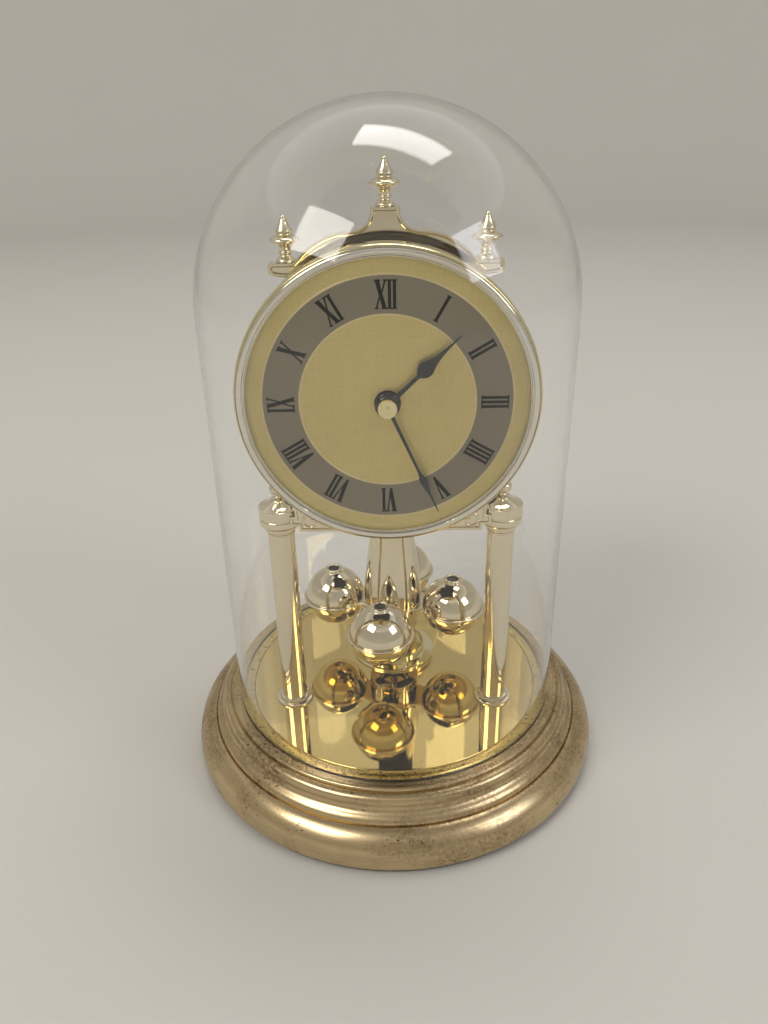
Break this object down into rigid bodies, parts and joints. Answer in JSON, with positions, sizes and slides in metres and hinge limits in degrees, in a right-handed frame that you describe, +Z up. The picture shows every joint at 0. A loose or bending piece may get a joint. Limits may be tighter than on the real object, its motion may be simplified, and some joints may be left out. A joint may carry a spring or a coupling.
{
  "type": "anniversary clock",
  "caption": "Quartz anniversary clock: round Roman dial on columns, slow ball pendulum below it, stepped brass base and lift-off glass dome.",
  "frame": {"origin": "centre of the base on the surface that the clock stands on", "axes": "+Z up, the dial faces -Y, +X to the right of someone reading the time"},
  "size_m": [0.15, 0.15, 0.2199],
  "materials": {
    "felt": "green felt",
    "fibreboard": "dark fibreboard",
    "aged_brass": "satin spun brass with age spots",
    "polished_brass": "polished to a mirror",
    "plated_plastic": "pale gold bright plating",
    "plated_gold": "gold bright plating",
    "dome_glass": "clear, polished",
    "dial_metal": "brushed, gold lacquered",
    "hand_black": "black lacquer",
    "wheel_brass": "cut brass",
    "steel": "bright",
    "black_plastic": "moulded",
    "white_plastic": "moulded",
    "coil_copper": "enamelled copper wire",
    "circuit": "green circuit board",
    "battery_jacket": "plain printed jacket without words"
  },
  "bodies": {
    "base": {"felt_ring": "felt", "base_board": "fibreboard", "base_shell": "aged_brass", "mirror_disc": "polished_brass", "guide_cup": "plated_gold", "column_left": "plated_plastic", "column_right": "plated_plastic", "column_collar_left": "plated_plastic", "column_collar_right": "plated_plastic", "capital_left": "plated_plastic", "capital_right": "plated_plastic", "column_knob_left": "plated_plastic", "column_knob_right": "plated_plastic", "tie_bolt_left": "steel", "tie_bolt_right": "steel", "front_plate": "plated_plastic", "finial_centre": "plated_plastic", "finial_left": "plated_plastic", "finial_right": "plated_plastic", "bezel": "plated_plastic", "dial": "dial_metal", "dial_drum": "plated_gold", "dial_nut": "hand_black", "movement_case": "black_plastic", "movement_rear_plate": "black_plastic", "circuit_board": "circuit", "stepping_motor": "white_plastic", "drive_housing": "black_plastic", "drive_coil": "coil_copper", "suspension_clamp": "steel", "battery_cradle": "black_plastic", "battery_contact_left": "steel", "battery_contact_right": "steel"},
    "dome": {"glass_dome": "dome_glass"},
    "pendulum": {"pendulum_arms": "plated_plastic", "pendulum_bell": "plated_plastic", "pendulum_hub": "plated_plastic", "pendulum_spindle": "steel", "pendulum_magnet": "steel", "suspension_wire": "steel", "ball_front_upper": "plated_plastic", "ball_front_lower": "plated_gold", "ball_right_upper": "plated_plastic", "ball_right_lower": "plated_gold", "ball_back_upper": "plated_plastic", "ball_back_lower": "plated_gold", "ball_left_upper": "plated_plastic", "ball_left_lower": "plated_gold"},
    "minute": {"centre_wheel": "wheel_brass", "minute_hand": "hand_black", "hand_cap": "plated_gold"},
    "hour": {"hour_wheel": "white_plastic", "hour_hand": "hand_black"},
    "motion_wheel": {"minute_wheel": "white_plastic"},
    "drive_gear": {"drive_pinion": "white_plastic"},
    "setting": {"setting_pinion": "white_plastic", "setting_knob": "black_plastic"},
    "battery": {"battery": "battery_jacket"}
  },
  "joints": [
    {"name": "dome_lift", "type": "slide", "parent": "base", "child": "dome", "axis": [0, 0, 1], "range_m": [0, 0.2]},
    {"name": "pendulum_swing", "type": "hinge", "parent": "base", "child": "pendulum", "pos_m": [0, 0.014, 0.046], "axis": [0, 0, 1], "range_deg": [-180, 180], "stiffness_Nm_per_rad": 0.00002},
    {"name": "minute_turn", "type": "hinge", "parent": "base", "child": "minute", "pos_m": [0, -0.03, 0.1422], "axis": [0, 1, 0], "continuous": true},
    {"name": "hour_turn", "type": "hinge", "parent": "base", "child": "hour", "pos_m": [0, -0.03, 0.1422], "axis": [0, 1, 0], "continuous": true},
    {"name": "motion_wheel_turn", "type": "hinge", "parent": "base", "child": "motion_wheel", "pos_m": [-0.012, -0.03, 0.1422], "axis": [0, 1, 0], "continuous": true},
    {"name": "drive_gear_turn", "type": "hinge", "parent": "base", "child": "drive_gear", "pos_m": [0.00804, -0.03, 0.13545], "axis": [0, 1, 0], "continuous": true},
    {"name": "setting_turn", "type": "hinge", "parent": "base", "child": "setting", "pos_m": [-0.01875, -0.02, 0.15389], "axis": [0, 1, 0], "continuous": true},
    {"name": "battery_pull", "type": "slide", "parent": "base", "child": "battery", "axis": [0, 0, 1], "range_m": [0, 0.03]}
  ],
  "couplings": [
    {"joint": "hour_turn", "follows": "minute_turn", "ratio": 0.083333},
    {"joint": "motion_wheel_turn", "follows": "minute_turn", "ratio": -0.33333},
    {"joint": "drive_gear_turn", "follows": "minute_turn", "ratio": -4},
    {"joint": "setting_turn", "follows": "minute_turn", "ratio": 0.66667}
  ]
}
